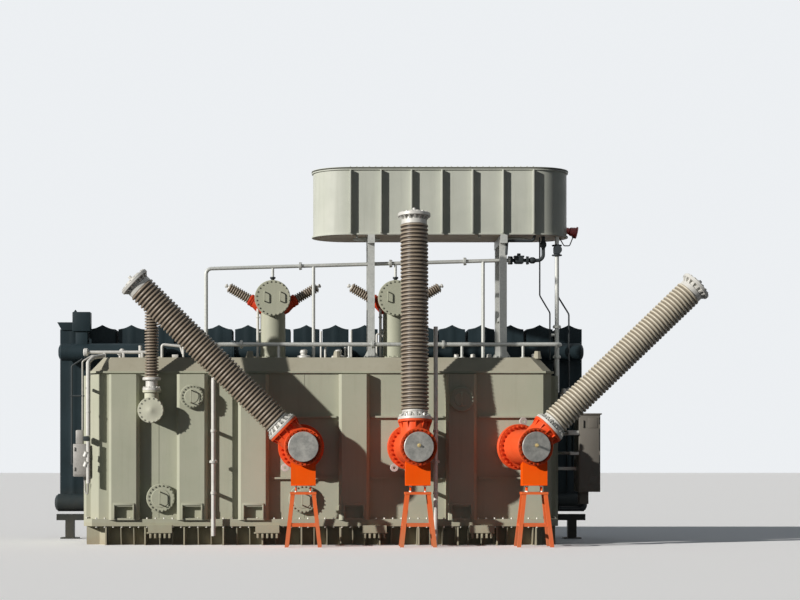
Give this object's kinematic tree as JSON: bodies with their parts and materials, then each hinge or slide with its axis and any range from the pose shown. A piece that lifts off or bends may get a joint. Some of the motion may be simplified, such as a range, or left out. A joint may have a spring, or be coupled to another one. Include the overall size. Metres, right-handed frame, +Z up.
{
  "type": "oil-filled power transformer",
  "caption": "Large oil-filled power transformer: ribbed tank on a skid, angled porcelain bushings on orange turrets, raised conservator and a rear radiator bank.",
  "frame": {"origin": "on the ground under the middle of the tank, on the flat underside of the skid", "axes": "+Z up, +X along the tank towards the conservator end, -Y towards the high-voltage front"},
  "size_m": [14.1173, 6.4745, 8.0903],
  "materials": {
    "tank_paint": "satin sage grey paint, weathered",
    "skid_paint": "satin sage grey paint, dusty at the ground",
    "orange_primer": "matt orange-red primer",
    "galvanised": "galvanised steel",
    "brown_porcelain": "glazed brown-grey porcelain",
    "conservator_paint": "satin light grey-green paint",
    "radiator_paint": "satin dark slate paint",
    "cabinet_paint": "satin dark grey-brown paint",
    "gauge_red": "red paint"
  },
  "bodies": {
    "root": {"skid": "skid_paint", "tank_body": "tank_paint", "tank_cover": "tank_paint", "hatch_lower_left": "tank_paint", "hatch_lower_middle": "tank_paint", "hatch_upper_left": "tank_paint", "hatch_upper_right": "tank_paint", "hv_left_turret": "orange_primer", "hv_left_blank_cover": "galvanised", "hv_left_bushing": "brown_porcelain", "hv_left_saddle": "orange_primer", "hv_left_trestle": "orange_primer", "hv_centre_turret": "orange_primer", "hv_centre_blank_cover": "galvanised", "hv_centre_bushing": "brown_porcelain", "hv_centre_saddle": "orange_primer", "hv_centre_trestle": "orange_primer", "hv_right_turret": "orange_primer", "hv_right_blank_cover": "galvanised", "hv_right_bushing": "brown_porcelain", "hv_right_saddle": "orange_primer", "hv_right_trestle": "orange_primer", "neutral_elbow": "galvanised", "neutral_bushing": "brown_porcelain", "lv_left_turret": "tank_paint", "lv_left_bushing_left": "brown_porcelain", "lv_left_bushing_right": "brown_porcelain", "lv_right_turret": "tank_paint", "lv_right_bushing_left": "brown_porcelain", "lv_right_bushing_right": "brown_porcelain", "conservator_tank": "conservator_paint", "conservator_lid": "conservator_paint", "conservator_frame_left": "galvanised", "conservator_frame_right": "galvanised", "level_gauge": "gauge_red", "relay_pipe": "galvanised", "gas_relay": "cabinet_paint", "deck_pipe": "galvanised", "conservator_riser": "galvanised", "front_pipe_left": "galvanised", "front_pipe_right": "galvanised", "radiator_bank_1": "radiator_paint", "radiator_bank_2": "radiator_paint", "radiator_bank_3": "radiator_paint", "radiator_stand": "radiator_paint", "junction_box": "galvanised", "control_cabinet": "cabinet_paint"}
  },
  "joints": []
}
